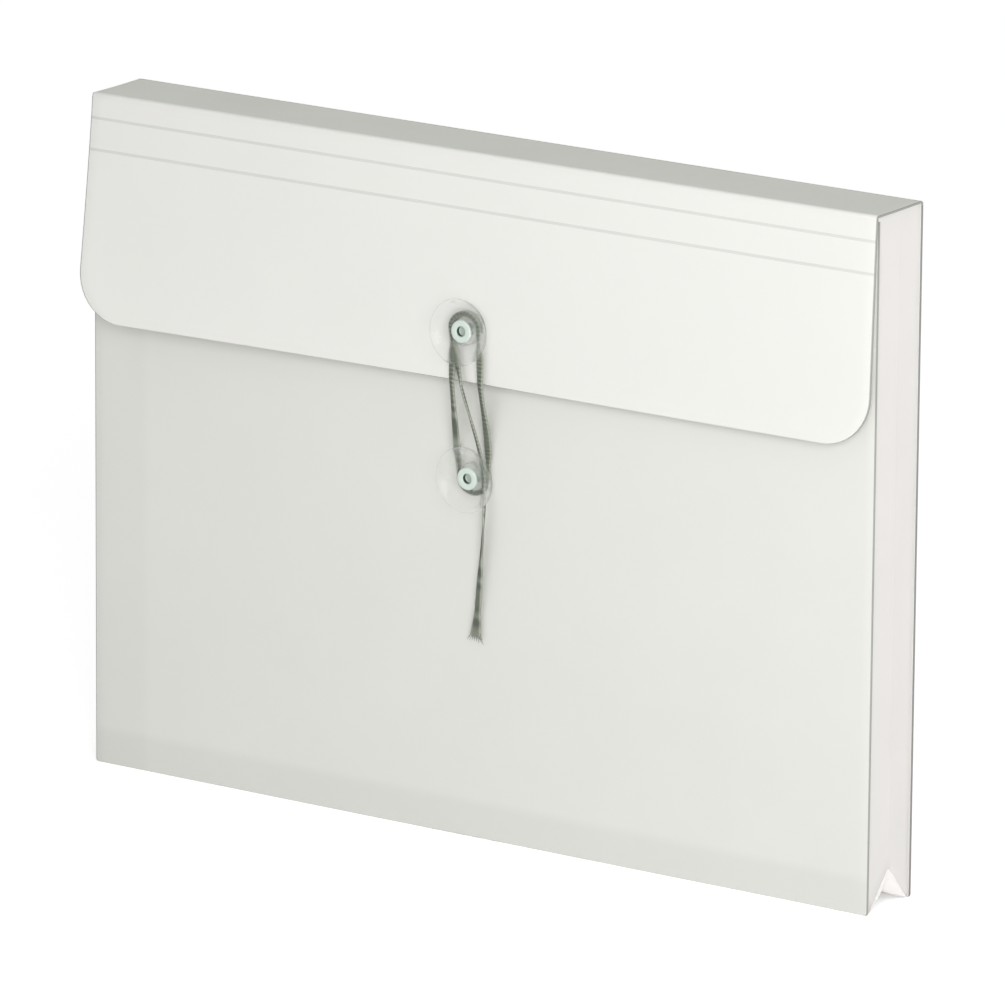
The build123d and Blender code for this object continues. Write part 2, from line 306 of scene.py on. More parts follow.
class StageSettings(bpy.types.PropertyGroup):
    """Camera, light and floor."""

    target: spot("Target", "Point at the picture's middle", (0.00661, 0, 0.1225))
    azimuth: angle("Azimuth", "Camera's turn to the right of the front", 33.95)
    elevation: angle("Elevation", "Camera's height as an angle", 14.83)
    roll: angle("Roll", "Camera's roll", 0.442)
    distance: size("Distance", "From the camera to the target", 3.596)
    lens: number("Lens", "Focal length in millimetres", 364.5)
    world_light: number("World light", "Strength of the even light", 0.60)
    key_power: FloatProperty(
        name="Key light", description="Power of the key light", default=14.5, unit="POWER"
    )
    key_size: size("Key light size", "Side of the key light", 0.8)
    key_place: spot("Key place", "Place of the key light", (0.95, -1.0, 0.55))
    floor_size: size("Floor size", "Side of the floor", 60.0)
    floor_glow: number("Floor glow", "What the floor adds to its own picture alone", 0.42)


class CaseSettings(bpy.types.PropertyGroup):
    """All settings of the document case."""

    sheets: PointerProperty(type=SheetSettings)
    buttons: PointerProperty(type=ButtonSettings)
    string: PointerProperty(type=StringSettings)
    colours: PointerProperty(type=ColourSettings)
    stage: PointerProperty(type=StageSettings)


def settings():
    """The scene's settings of the case."""
    return bpy.context.scene.document_case


# Materials, each made once and kept here by its name
MADE = {}


def node_link(tree, start, start_socket, end, end_socket):
    """Joins two shader nodes."""
    tree.links.new(start.outputs[start_socket], end.inputs[end_socket])


def add_noise(tree, scale, detail):
    """A noise texture in the object's own coordinates."""
    place = tree.nodes.new("ShaderNodeTexCoord")
    texture = tree.nodes.new("ShaderNodeTexNoise")
    texture.inputs["Scale"].default_value = scale
    texture.inputs["Detail"].default_value = detail
    node_link(tree, place, "Object", texture, "Vector")
    return texture


def add_ramp(tree, source, socket, low, high):
    """A colour ramp from one colour to another, driven by a value."""
    ramp = tree.nodes.new("ShaderNodeValToRGB")
    ramp.color_ramp.elements[0].color = low
    ramp.color_ramp.elements[1].color = high
    node_link(tree, source, socket, ramp, "Fac")
    return ramp


def add_bump(tree, shader, scale, detail, strength):
    """Fine noise that roughens a shader's surface."""
    fine = add_noise(tree, scale, detail)
    bump = tree.nodes.new("ShaderNodeBump")
    bump.inputs["Strength"].default_value = strength
    bump.inputs["Distance"].default_value = GRAIN_DEPTH
    node_link(tree, fine, "Fac", bump, "Height")
    node_link(tree, bump, "Normal", shader, "Normal")


def scaled(value, factor):
    """A colour made lighter or darker, with full cover."""
    return (*(min(1.0, channel * factor) for channel in value[:3]), 1.0)


def plastic(name, base, roughness, transmission=0.0, mottle=0.02, grain=0.0, ior=1.49, alpha=1.0):
    """Plastic with faint mottling of its colour and a fine frosted grain."""
    if name in MADE:
        return MADE[name]
    material = bpy.data.materials.new(name)
    MADE[name] = material
    material.use_nodes = True
    tree = material.node_tree
    shader = tree.nodes["Principled BSDF"]
    shader.inputs["Roughness"].default_value = roughness
    shader.inputs["IOR"].default_value = ior
    shader.inputs["Transmission Weight"].default_value = transmission
    shader.inputs["Alpha"].default_value = alpha
    texture = add_noise(tree, 26.0, 3.0)
    ramp = add_ramp(tree, texture, "Fac", scaled(base, 1 - mottle), scaled(base, 1 + mottle))
    ramp.color_ramp.elements[0].position = 0.3
    ramp.color_ramp.elements[1].position = 0.7
    node_link(tree, ramp, "Color", shader, "Base Color")
    if grain:
        add_bump(tree, shader, GRAIN_SCALE, 2.0, grain)
    material.diffuse_color = scaled(base, 1)
    return material


def sheet_material(which):
    """One of the frosted sheets' materials."""
    colours = settings().colours
    # The flap's lighter colour is painted light of the two layers
    if which == "flap":
        return plastic("frosted_flap_painted_light", colours.flap, 0.5, transmission=0.18, mottle=0.006, grain=0.12)
    # The spine's colour is painted shade of the top face
    if which == "spine":
        return plastic("frosted_spine_painted_shade", colours.spine, 0.45, transmission=0.15, mottle=0.02, grain=0.1)
    # The scored lines' darker colour is painted shade of the grooves
    if which == "score":
        return plastic("scored_line_painted_shade", colours.score, 0.4, transmission=0.1, mottle=0.01)
    if which == "gusset":
        return plastic("frosted_gusset", colours.gusset, 0.4, transmission=0.2, mottle=0.015, grain=0.1)
    # Dark rims: painted shade of the sheets' outline
    if which == "edge":
        return plastic("cut_edge_painted_shade", colours.edge, 0.5, mottle=0.03)
    if which == "back_edge":
        return plastic("back_cut_edge_painted_shade", colours.back_edge, 0.5, mottle=0.03)
    # The front's own material carries painted shade over the gussets behind it
    if which == "front":
        return front_material_painted_shade(colours.panel)
    return plastic("frosted_panel", colours.panel, 0.5, transmission=0.16, mottle=0.008, grain=0.12)


def front_material_painted_shade(base):
    """Frosted front sheet with painted shade: a little darker where the gussets lie behind it, standing in
    for their darkness seen through the sheet.
    """
    if "frosted_front_painted_shade" in MADE:
        return MADE["frosted_front_painted_shade"]
    material = plastic("frosted_front_painted_shade", base, 0.5, transmission=0.16, mottle=0.008, grain=0.12)
    sheets = settings().sheets
    tree = material.node_tree
    ramp = next(node for node in tree.nodes if node.type == "VALTORGB")
    place = tree.nodes.new("ShaderNodeTexCoord")
    split = tree.nodes.new("ShaderNodeSeparateXYZ")
    node_link(tree, place, "Object", split, "Vector")
    source = ramp
    fade = sheets.behind_fade
    side_start = sheets.behind_side - HALF_WIDTH
    side_shade = 1 - (1 - sheets.behind_shade) / 2
    # Painted shade: a band along the bottom and, at half its depth, a band along the left side
    bands = (
        ("Z", sheets.behind_bottom, sheets.behind_bottom + fade, sheets.behind_shade),
        ("X", side_start, side_start + fade, side_shade),
    )
    for axis, start, end, low in bands:
        band = tree.nodes.new("ShaderNodeMapRange")
        band.interpolation_type = "SMOOTHSTEP"
        band.inputs["From Min"].default_value = start
        band.inputs["From Max"].default_value = end
        band.inputs["To Min"].default_value = low
        band.inputs["To Max"].default_value = 1.0
        node_link(tree, split, axis, band, "Value")
        shade = tree.nodes.new("ShaderNodeVectorMath")
        shade.operation = "SCALE"
        tree.links.new(source.outputs[0], shade.inputs[0])
        tree.links.new(band.outputs["Result"], shade.inputs["Scale"])
        source = shade
    tree.links.new(source.outputs[0], tree.nodes["Principled BSDF"].inputs["Base Color"])
    return material


def braid_material():
    """Dull braid whose strands cross the flat string in two directions, with painted shade in the low places
    of the weave and in its middle groove.
    """
    if "string_braid" in MADE:
        return MADE["string_braid"]
    colours = settings().colours
    material = bpy.data.materials.new("string_braid")
    MADE["string_braid"] = material
    material.use_nodes = True
    tree = material.node_tree
    shader = tree.nodes["Principled BSDF"]
    shader.inputs["Roughness"].default_value = 0.85
    strands = tree.nodes.new("ShaderNodeAttribute")
    strands.attribute_name = "strand"
    ramp = add_ramp(tree, strands, "Fac", tuple(colours.braid_dark_and_shade), tuple(colours.braid_light))
    ramp.color_ramp.elements[0].position = 0.15
    ramp.color_ramp.elements[1].position = 0.9
    node_link(tree, ramp, "Color", shader, "Base Color")
    add_bump(tree, shader, 4000.0, 3.0, 0.4)
    material.diffuse_color = tuple(colours.braid_light)
    return material


# Meshes


def add_object(name, vertices, faces, materials, material_index=None, sharp=SHARP):
    """A mesh object with outward faces, smooth except at sharp edges."""
    mesh = bpy.data.meshes.new(name)
    mesh.from_pydata([tuple(vertex) for vertex in vertices], [], faces)
    for material in materials:
        mesh.materials.append(material)
    if material_index is not None:
        mesh.polygons.foreach_set("material_index", material_index)
    shaped = bmesh.new()
    shaped.from_mesh(mesh)
    bmesh.ops.remove_doubles(shaped, verts=shaped.verts, dist=1e-7)
    bmesh.ops.recalc_face_normals(shaped, faces=shaped.faces)
    shaped.to_mesh(mesh)
    shaped.free()
    mesh.shade_smooth()
    mesh.set_sharp_from_angle(angle=sharp)
    mesh.update()
    found = bpy.data.objects.new(name, mesh)
    bpy.context.scene.collection.objects.link(found)
    return found


def unit(vectors):
    """Vectors of length one."""
    return vectors / np.maximum(np.linalg.norm(vectors, axis=-1, keepdims=True), 1e-12)


def sheet_piece(name, middle, outward, thickness, materials, open_rows=()):
    """A thin sheet with softened cut edges, from a grid of points on its middle surface.

    The rows named in open_rows, 0 or -1, run on into the next piece and get no cut edge.
    """
    inset = settings().sheets.edge_inset
    fall = settings().sheets.edge_round
    rows, columns = middle.shape[:2]
    thickness = np.broadcast_to(np.asarray(thickness, float), (rows, columns))[..., None]
    down_rows, along_columns = np.gradient(middle, axis=(0, 1))
    normal = unit(np.cross(down_rows, along_columns))
    if np.sum(normal @ np.array(outward)) < 0:
        normal = -normal
    spread = np.zeros_like(middle)
    if 0 not in open_rows:
        spread[0] += unit(middle[0] - middle[1])
    if -1 not in open_rows:
        spread[-1] += unit(middle[-1] - middle[-2])
    spread[:, 0] += unit(middle[:, 0] - middle[:, 1])
    spread[:, -1] += unit(middle[:, -1] - middle[:, -2])
    outer = middle + normal * thickness / 2 - spread * inset
    inner = middle - normal * thickness / 2 - spread * inset
    shoulder = thickness / 2 - fall * (np.linalg.norm(spread, axis=2, keepdims=True) > 0)
    rim_outer = middle + normal * shoulder
    rim_inner = middle - normal * shoulder
    layers = np.concatenate([layer.reshape(-1, 3) for layer in (outer, rim_outer, rim_inner, inner)])
    count = rows * columns

    def at(layer, i, j):
        return layer * count + (i % rows) * columns + (j % columns)

    faces = []
    index = []
    for i in range(rows - 1):
        for j in range(columns - 1):
            faces.append((at(0, i, j), at(0, i, j + 1), at(0, i + 1, j + 1), at(0, i + 1, j)))
            faces.append((at(3, i, j), at(3, i + 1, j), at(3, i + 1, j + 1), at(3, i, j + 1)))
            index += [0, 0]
    sides = []
    if 0 not in open_rows:
        sides += [((0, j), (0, j + 1)) for j in range(columns - 1)]
    if -1 not in open_rows:
        sides += [((-1, j + 1), (-1, j)) for j in range(columns - 1)]
    sides += [((i + 1, 0), (i, 0)) for i in range(rows - 1)]
    sides += [((i, -1), (i + 1, -1)) for i in range(rows - 1)]
    # The rim faces take the sheet's second material; on the panels, the spine and the flap that is a dark
    # colour, painted shade of their outline
    for start, end in sides:
        for layer in range(3):
            faces.append((at(layer, *end), at(layer, *start), at(layer + 1, *start), at(layer + 1, *end)))
            index.append(1)
    used = sorted({corner for face in faces for corner in face})
    renumber = {old: new for new, old in enumerate(used)}
    faces = [tuple(renumber[corner] for corner in face) for face in faces]
    return add_object(name, layers[used], faces, materials, index)


def waves(x, height, seed):
    """Soft waves of a sheet, as a share of the full relief, zero at its sides and at the buttons' line."""
    sheets = settings().sheets
    buttons = settings().buttons
    level = noise.noise(Vector((x / sheets.relief_length, height / sheets.relief_length, seed)))
    near_end = min(1.0, (HALF_WIDTH - abs(x)) / WAVE_FADE)
    from_buttons = abs(x - buttons.x) / WAVE_FADE
    return level * max(0.0, near_end) * min(1.0, from_buttons)


def corner_rows(start, end, radius, count):
    """Positions across a sheet that gets two rounded corners at its end, each with its inset."""
    straight = np.linspace(start, end - radius, count)
    turns = np.linspace(0, math.pi / 2, 12)[1:]
    positions = list(straight) + [end - radius + radius * math.sin(turn) for turn in turns]
    insets = [0.0] * count + [radius - radius * math.cos(turn) for turn in turns]
    return positions, insets


def wide_grid(place, positions, insets, columns=73):
    """A grid of points across the whole width, from a function of X and a position."""
    rows = []
    for position, inset in zip(positions, insets):
        half = HALF_WIDTH - inset
        rows.append([place(x, position) for x in np.linspace(-half, half, columns)])
    return np.array(rows)


def flap_lift(x, drop):
    """How far the flap springs out at a point, beyond its lean."""
    sheets = settings().sheets
    share = max(0.0, drop / sheets.flap_length)
    left = max(0.0, -x - LIFT_START) / (HALF_WIDTH - LIFT_START)
    right = max(0.0, x - LIFT_START) / (HALF_WIDTH - LIFT_START)
    spring = sheets.corner_lift * left**1.5 * share**1.25
    return spring - sheets.corner_press * right**2 * share**1.5


def flap_point(x, drop, height):
    """A point by its X, its distance down the flap and its height over the flap's outer face."""
    lean = settings().sheets.flap_lean
    raised = height + flap_lift(x, drop)
    return (
        x,
        CREASE_Y - drop * math.sin(lean) - raised * math.cos(lean),
        CASE_TOP - drop * math.cos(lean) + raised * math.sin(lean),
    )


def bend(corner, way_in, way_out, reach, radius, steps=7):
    """Middle line of a sheet that turns a corner, from reach before it to reach after it."""
    corner = np.array(corner, float)
    way_in = unit(np.array(way_in, float))
    way_out = unit(np.array(way_out, float))
    half_turn = math.acos(float(np.clip(way_in @ way_out, -1, 1))) / 2
    tangent = radius * math.tan(half_turn)
    points = [corner - way_in * reach, corner - way_in * (reach + tangent) / 2]
    centre = corner + unit(way_out - way_in) * radius / math.cos(half_turn)
    start = corner - way_in * tangent - centre
    across = unit(way_in)
    for step in range(steps + 1):
        turn = 2 * half_turn * step / steps
        points.append(centre + start * math.cos(turn) + across * radius * math.sin(turn))
    points += [corner + way_out * (reach + tangent) / 2, corner + way_out * reach]
    return np.array(points)


def swept(points, half, columns=37):
    """A grid made by carrying a line in the YZ plane along the width."""
    across = np.linspace(-half, half, columns)
    return np.array([[(x, point[1], point[2]) for x in across] for point in points])


def turned(name, outline, origin, normal, materials, index=None, segments=96, sharp=SHARP):
    """A turned piece from points of radius and height about an axis."""
    z = Vector(normal).normalized()
    x = Vector((1, 0, 0))
    y = z.cross(x)
    vertices = []
    for step in range(segments):
        turn = 2 * math.pi * step / segments
        spoke = x * math.cos(turn) + y * math.sin(turn)
        vertices += [Vector(origin) + spoke * radius + z * height for radius, height in outline]
    count = len(outline)
    faces = []
    marks = []
    for step in range(segments):
        here = step * count
        there = (step + 1) % segments * count
        for i in range(count):
            k = (i + 1) % count
            corners = (here + i, here + k, there + k, there + i)
            if outline[i][0] < 1e-9 and outline[k][0] < 1e-9:
                continue
            if outline[i][0] < 1e-9:
                corners = (here + i, here + k, there + k)
            elif outline[k][0] < 1e-9:
                corners = (here + i, here + k, there + i)
            faces.append(corners)
            marks.append(index[i] if index else 0)
    return add_object(name, vertices, faces, materials, marks, sharp)


def arc(centre, radius, start, end, steps):
    """Points of radius and height on an arc, by angles in degrees."""
    turns = [math.radians(start + (end - start) * step / steps) for step in range(steps + 1)]
    return [(centre[0] + radius * math.cos(turn), centre[1] + radius * math.sin(turn)) for turn in turns]


def dress(piece, slot, *nodes):
    """Hides the CAD nodes that a piece stands for."""
    if nodes:
        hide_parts(*nodes)


# Frames of the two buttons


def button_frame(which):
    """Origin on the sheet's outer face, upright direction and normal of a button."""
    buttons = settings().buttons
    lean = settings().sheets.flap_lean
    if which == "upper":
        normal = Vector((0, -math.cos(lean), math.sin(lean)))
        up = Vector((0, math.sin(lean), math.cos(lean)))
        origin = Vector((buttons.x, CREASE_Y, CASE_TOP)) - up * buttons.upper_drop
        return origin, up, normal
    return Vector((buttons.x, FRONT_Y, buttons.lower_height)), Vector((0, 0, 1)), Vector((0, -1, 0))


def button_point(which, x, rise, height):
    """A point near a button, by its X, its rise along the sheet and its height over the sheet."""
    origin, up, normal = button_frame(which)
    return origin + Vector((x, 0, 0)) + up * rise + normal * height


# Pieces


def build_panels():
    """Back sheet, front sheet and the spine between the back and the flap."""
    sheets = settings().sheets
    reach = sheets.crease_reach

    def back_place(x, drop):
        return (x, BACK_Y - SHEET / 2 - sheets.relief * waves(x, drop, 3.1), CASE_TOP - drop)

    positions, insets = corner_rows(reach, CASE_TOP, sheets.panel_corner, 34)
    back = sheet_piece(
        "back_sheet", wide_grid(back_place, positions, insets), (0, 1, 0), SHEET,
        [sheet_material("panel"), sheet_material("back_edge")], (0,),
    )
    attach(back, "back")
    dress(back, "panel_sheet", "back_panel")

    front_top = FRONT_HIGH.z

    def front_place(x, drop):
        return (x, FRONT_Y + SHEET / 2 + sheets.relief * waves(x, drop, 7.7), front_top - drop)

    positions, insets = corner_rows(0, front_top, sheets.panel_corner, 34)
    front = sheet_piece(
        "front_sheet", wide_grid(front_place, positions, insets), (0, -1, 0), SHEET,
        [sheet_material("front"), sheet_material("edge")],
    )
    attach(front, "front")
    dress(front, "panel_sheet", "front_panel")

    def spine_place(x, along):
        sag = 0.5 * sheets.relief * (1 + waves(x, along, 1.3))
        share = along / (BACK_Y - CREASE_Y)
        return (x, BACK_Y - along, CASE_TOP - SHEET / 2 - sag * math.sin(math.pi * share))

    positions = np.linspace(reach, BACK_Y - CREASE_Y - reach, 13)
    grid = wide_grid(spine_place, positions, [0.0] * len(positions))
    spine = sheet_piece(
        "spine_sheet", grid, (0, 0, 1), SHEET, [sheet_material("spine"), sheet_material("edge")], (0, -1)
    )
    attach(spine, "spine")
    dress(spine, "spine_sheet", "spine")

    # The bend behind the spine takes the spine's colour, with its painted shade
    corner = (0, BACK_Y - SHEET / 2, CASE_TOP - SHEET / 2)
    line = bend(corner, (0, 0, 1), (0, -1, 0), reach - SHEET / 2, sheets.crease_radius)
    rear = sheet_piece(
        "rear_crease", swept(line, HALF_WIDTH), (0, 1, 1), SHEET,
        [sheet_material("spine"), sheet_material("edge")], (0, -1),
    )
    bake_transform(rear)
    dress(rear, "spine_sheet")


def flap_strip(name, start, end, open_rows, material, rows=5):
    """A strip of the flap between two distances down from its top edge."""

    def place(x, drop):
        return flap_point(x, drop, -SHEET / 2)

    positions = np.linspace(start, end, rows)
    grid = wide_grid(place, positions, [0.0] * rows)
    return sheet_piece(name, grid, (0, -1, 0), SHEET, [material, sheet_material("edge")], open_rows)


def score_strip(name, drop):
    """A scored line of the flap: a shallow groove between two low burrs."""
    sheets = settings().sheets
    half = sheets.score_half
    lip = -sheets.score_lip
    floor = sheets.score_depth
    slope = 0.35 * floor
    shares = (-1, -0.66, -0.42, -0.2, 0, 0.2, 0.42, 0.66, 1)
    depths = (0, 0, lip, slope, floor, slope, lip, 0, 0)
    across = np.linspace(-HALF_WIDTH, HALF_WIDTH, 73)
    rows = []
    for share, depth in zip(shares, depths):
        height = -(SHEET + depth) / 2
        rows.append([flap_point(x, drop + share * half, height) for x in across])
    thickness = np.array([[SHEET - depth] for depth in depths])
    # Darker colour on the scored strip: painted shade of the groove
    materials = [sheet_material("score"), sheet_material("edge")]
    return sheet_piece(name, np.array(rows), (0, -1, 0), thickness, materials, (0, -1))


def build_flap():
    """Flap of three plates with its top crease and two scored lines."""
    sheets = settings().sheets
    material = sheet_material("flap")
    reach = sheets.crease_reach
    half = sheets.score_half
    upper = flap_strip("upper_strip_sheet", reach, sheets.score_a - half, (0, -1), material)
    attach(upper, "upper_strip")
    dress(upper, "flap_sheet", "flap_upper_strip")
    middle = flap_strip("middle_strip_sheet", sheets.score_a + half, sheets.score_b - half, (0, -1), material)
    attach(middle, "middle_strip")
    dress(middle, "flap_sheet", "flap_middle_strip")

    def place(x, drop):
        return flap_point(x, drop, -SHEET / 2 + 0.6 * sheets.relief * waves(x, drop, 5.2))

    positions, insets = corner_rows(sheets.score_b + half, sheets.flap_length, sheets.flap_corner, 18)
    plate = sheet_piece(
        "flap_plate", wide_grid(place, positions, insets), (0, -1, 0), SHEET,
        [material, sheet_material("edge")], (0,),
    )
    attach(plate, "flap")
    dress(plate, "flap_sheet", "flap")

    lean = sheets.flap_lean
    line = bend(
        (0, CREASE_Y + SHEET / 2, CASE_TOP - SHEET / 2), (0, -1, 0), (0, -math.sin(lean), -math.cos(lean)),
        reach - SHEET / 2, sheets.crease_radius,
    )
    crease = sheet_piece(
        "front_crease", swept(line, HALF_WIDTH), (0, -1, 1), SHEET,
        [material, sheet_material("edge")], (0, -1),
    )
    flap_point(0, reach, 0)
    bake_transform(crease)
    dress(crease, "flap_sheet")

    for name, drop, above, below in (
        ("first_score", sheets.score_a, "upper_strip", "middle_strip"),
        ("second_score", sheets.score_b, "middle_strip", "flap"),
    ):
        strip = score_strip(name, drop)
        flap_point(0, drop - half, 0)
        flap_point(0, drop + half, 0)
        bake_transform(strip)
        dress(strip, "flap_sheet")


def gusset_top():
    """Height of the side gussets' upper edge, close under the spine."""
    return CASE_TOP - SHEET - settings().sheets.top_gap


def gusset_half(side, from_y, toward):
    """Grid of half a side gusset, with its slanted lower end and a slight inward curve."""
    sheets = settings().sheets
    reach = sheets.crease_reach / 2
    shares = np.linspace(reach / HALF_FOLD, 1 - reach / HALF_FOLD, 9)
    rows = []
    for share in shares:
        inward = sheets.gusset_sag * math.sin(math.pi * share)
        low = (SIDE_START - sheets.mitre_cover) + share * HALF_FOLD
        column = []
        for z in np.linspace(low, gusset_top(), 40):
            fade = min(1.0, (z - low) / CURVE_FADE)
            level = noise.noise(Vector((share, z / RIPPLE_LENGTH, 4.0 * side + toward)))
            ripple = RIPPLE_SHARE * sheets.relief * level
            x = side * (GUSSET_X - GUSSET_SHEET / 2 - (inward + ripple) * fade)
            column.append((x, from_y + toward * share * HALF_FOLD, z))
        rows.append(column)
    return np.array(rows)


def build_gussets():
    """Side gussets with their folds, and the bottom gusset."""
    sheets = settings().sheets
    materials = [sheet_material("gusset"), sheet_material("gusset")]
    reach = sheets.crease_reach / 2
    middle_x = GUSSET_X - GUSSET_SHEET / 2
    for side, name in SIDES:
        for end, from_y, toward in (("rear", REAR_INNER_Y, -1), ("front", FRONT_INNER_Y, 1)):
            half = sheet_piece(
                f"{name}_gusset_{end}_sheet", gusset_half(side, from_y, toward), (side, 0, 0),
                GUSSET_SHEET, materials, (0, -1),
            )
            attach(half, f"{name}_{end}")
            dress(half, "gusset_sheet", f"{name}_gusset_{end}")
        low = SIDE_START - sheets.mitre_cover + HALF_FOLD
        line = [
            (side * (middle_x + 0.1 * GUSSET_SHEET * math.cos(math.pi * share / 2)), MIDDLE_Y + share * reach)
            for share in np.linspace(1, -1, 9)
        ]
        heights = np.linspace(low, gusset_top(), 40)
        grid = np.array([[(x, y, z) for z in heights] for x, y in line])
        fold = sheet_piece(f"{name}_middle_fold", grid, (side, 0, 0), GUSSET_SHEET, materials, (0, -1))
        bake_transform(fold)
        dress(fold, "gusset_sheet")
        joined = [("rear", "back", REAR_INNER_Y, -1)]
        if side > 0:
            joined.append(("front", "front", FRONT_INNER_Y, 1))
        for end, body, fold_y, toward in joined:
            line = bend(
                (side * middle_x, fold_y - toward * GUSSET_SHEET / 2, 0), (side, 0, 0), (0, toward, 0),
                reach + GUSSET_SHEET / 2, GUSSET_SHEET / 2,
            )
            heights = np.linspace(SIDE_START, gusset_top(), 40)
            grid = np.array([[(point[0], point[1], z) for z in heights] for point in line])
            corner = sheet_piece(
                f"{name}_{end}_corner_fold", grid, (side, -toward, 0), GUSSET_SHEET, materials, (0, -1)
            )
            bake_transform(corner)
            dress(corner, "gusset_sheet")
    build_bottom(materials)


def bottom_half_length():
    """Length of a bottom gusset half, from its outer fold to the middle fold."""
    low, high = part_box("bottom_gusset_rear")
    angle = settings().sheets.bottom_angle
    return (high.y - low.y - GUSSET_SHEET * math.sin(angle)) / math.cos(angle)


def build_bottom(materials):
    """Two halves of the bottom gusset, an inverted V with slanted ends."""
    sheets = settings().sheets
    angle = sheets.bottom_angle
    length = bottom_half_length()
    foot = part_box("bottom_gusset_rear")[1].x
    wave_length = 0.04
    for end, from_y, toward in (("rear", REAR_INNER_Y, -1), ("front", FRONT_INNER_Y, 1)):
        rows = []
        for along in np.linspace(0, length, 9):
            half = foot - along
            row = []
            for x in np.linspace(-half, half, 61):
                sag = 0.5 * sheets.gusset_sag * math.sin(math.pi * along / length)
                depth = GUSSET_SHEET / 2 - sag * (0.6 + 0.4 * math.cos(x / wave_length))
                y = from_y + toward * (along * math.cos(angle) + depth * math.sin(angle))
                row.append((x, y, sheets.bottom_lift + along * math.sin(angle) - depth * math.cos(angle)))
            rows.append(row)
        half = sheet_piece(f"bottom_{end}_sheet", np.array(rows), (0, 0, -1), GUSSET_SHEET, materials)
        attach(half, f"bottom_{end}")
        dress(half, "gusset_sheet", f"bottom_gusset_{end}")


def build_gores():
    """Folded corners of thin sheet between the side gussets and the bottom gusset."""
    sheets = settings().sheets
    angle = sheets.bottom_angle
    length = bottom_half_length()
    axis_x = GUSSET_X - GUSSET_SHEET
    apex = sheets.bottom_lift + length * math.sin(angle)
    materials = [sheet_material("gusset"), sheet_material("gusset")]
    tip_share = 0.04
    curl_share = 0.35
    smoothing_passes = 3
    for side, name in SIDES:
        corners = [
            Vector((side * GUSSET_X, MIDDLE_Y, SIDE_START + HALF_FOLD - sheets.gore_gap)),
            Vector((side * GUSSET_X, MIDDLE_Y, sheets.gore_bend)),
            Vector((side * (GUSSET_X - sheets.gore_notch_in), MIDDLE_Y, sheets.gore_notch_height)),
            Vector((side * (axis_x - length), MIDDLE_Y, apex - sheets.gore_gap)),
        ]
        ridge = []
        for start, end in zip(corners, corners[1:]):
            ridge += [start.lerp(end, share) for share in np.linspace(0, 1, 7)[:-1]]
        ridge.append(corners[-1])
        ridge = np.array(ridge)
        for _ in range(smoothing_passes):
            ridge[1:-1] = (ridge[:-2] + 2 * ridge[1:-1] + ridge[2:]) / 4
        ridge += np.array((-side, 0, 1)) * GUSSET_SHEET / 2
        halves = []
        for tip_y in (REAR_INNER_Y, FRONT_INNER_Y):
            tip = np.array((side * (GUSSET_X - GUSSET_SHEET / 2), tip_y, GUSSET_SHEET / 2))
            rows = []
            for share in np.linspace(tip_share, 1, 14):
                curl = curl_share * GUSSET_SHEET * math.sin(math.pi * share)
                rows.append(tip + (ridge - tip) * share + np.array((side, 0, -1)) * curl)
            halves.append(np.array(rows))
        grid = np.concatenate([halves[0], halves[1][::-1][1:]])
        gore = sheet_piece(f"{name}_folded_corner", grid, (side, 0, -1), GUSSET_SHEET, materials)
        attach(gore, "back")
        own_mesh(gore)
        dress(gore, "gusset_sheet", f"{name}_corner_gore")


def disc_outline():
    """Outline of a clear disc: hub, flat and a smooth flare with a rounded rim."""
    b = settings().buttons
    flare_start = b.disc_flat
    rim = b.disc_sheet / 2
    reach = b.disc_radius - rim - flare_start
    power = 1.45
    rise = b.disc_flare * 0.97
    shares = np.linspace(0, 1, 10)
    under = [(flare_start + reach * share, b.hub_height + rise * share**power) for share in shares]
    slope = math.atan2(power * rise, reach)
    lip = (b.disc_radius - rim, b.hub_height + rise + b.disc_sheet * 0.45)
    turns = np.linspace(0.15, math.pi - 0.15, 8)
    bead = [(lip[0] + rim * math.sin(slope + turn), lip[1] - rim * math.cos(slope + turn)) for turn in turns]
    over = [(radius - CHAMFER, height + b.disc_sheet) for radius, height in under[:-1]][::-1]
    gap = b.spin_gap
    outline = [(b.bore_radius, gap + CHAMFER), (b.bore_radius + CHAMFER, gap), (b.hub_radius - FILLET, gap)]
    outline += [(b.hub_radius, gap + FILLET), (b.hub_radius, b.hub_height - FILLET)]
    outline += arc((b.hub_radius + FILLET, b.hub_height - FILLET), FILLET, 180, 90, 3)[1:]
    outline += under + bead + over
    outline += [(b.bore_radius + CHAMFER, b.hub_height + b.disc_sheet)]
    outline += [(b.bore_radius, b.hub_height + b.disc_sheet - CHAMFER)]
    return outline


def rivet_outline():
    """Outline of a rivet: clinched foot, shank and a rolled head with a blind hollow."""
    b = settings().buttons
    foot = -SHEET - b.washer_height
    base = b.hub_height + b.disc_sheet + b.spin_gap
    top = base + b.head_height
    roll = b.head_height / 2
    outline = [(0, foot - b.clinch_height), (b.clinch_radius - FILLET, foot - b.clinch_height)]
    outline += [(b.clinch_radius, foot - b.clinch_height + CHAMFER), (b.clinch_radius, foot)]
    outline += [(b.shank_radius, foot), (b.shank_radius, base)]
    outline += [(b.head_radius - roll, base)]
    outline += arc((b.head_radius - roll, base + roll), roll, -75, 90, 9)
    outline += arc((b.hollow_radius + roll, top - roll), roll, 90, 180, 6)
    bottom = top - b.hollow_depth
    outline += [(b.hollow_radius, bottom + CHAMFER), (b.hollow_radius - CHAMFER, bottom)]
    outline += [(0, bottom + CHAMFER / 2)]
    return outline


